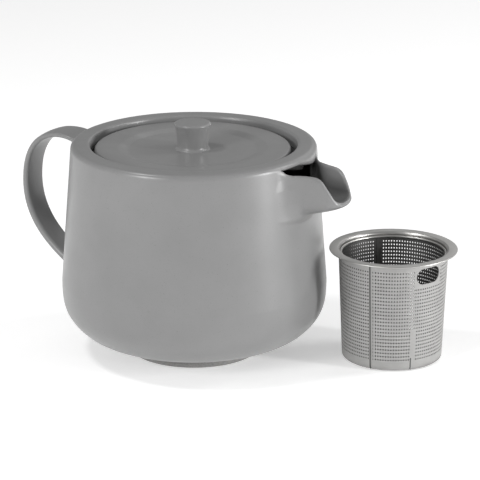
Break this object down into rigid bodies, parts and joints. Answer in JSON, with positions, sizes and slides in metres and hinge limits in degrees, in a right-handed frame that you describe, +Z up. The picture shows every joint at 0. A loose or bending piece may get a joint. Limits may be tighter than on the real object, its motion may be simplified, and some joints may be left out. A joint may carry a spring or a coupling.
{
  "type": "infuser teapot",
  "caption": "Round stoneware teapot with strap handle, open beak spout and recessed lid, and its perforated steel infuser basket standing beside it.",
  "frame": {"origin": "centre of the foot ring's resting plane, on the pot's axis", "axes": "+Z up; +X along the spout, away from the pot; -X along the handle"},
  "size_m": [0.2512, 0.1504, 0.1326],
  "materials": {
    "grey_glaze": "satin glaze",
    "bare_foot": "matte fired clay",
    "steel_rim": "turned satin",
    "steel_mesh": "perforated satin sheet"
  },
  "bodies": {
    "pot": {"pot_body": "grey_glaze", "foot_ring": "bare_foot", "gallery_ring": "grey_glaze", "spout": "grey_glaze", "handle": "grey_glaze"},
    "lid": {"lid_disc": "grey_glaze", "lid_skirt": "grey_glaze", "lid_knob": "grey_glaze"},
    "infuser": {"infuser_rim": "steel_rim", "infuser_bead": "steel_rim", "infuser_wall": "steel_mesh", "infuser_base_mesh": "steel_mesh", "infuser_base_ring": "steel_rim"}
  },
  "joints": [
    {"name": "lid_lift", "type": "slide", "parent": "pot", "child": "lid", "axis": [0, 0, 1], "range_m": [0, 0.12]},
    {"name": "infuser_lift", "type": "slide", "parent": "pot", "child": "infuser", "axis": [0.562, 0.21, 0.8], "range_m": [0, 0.12]}
  ]
}
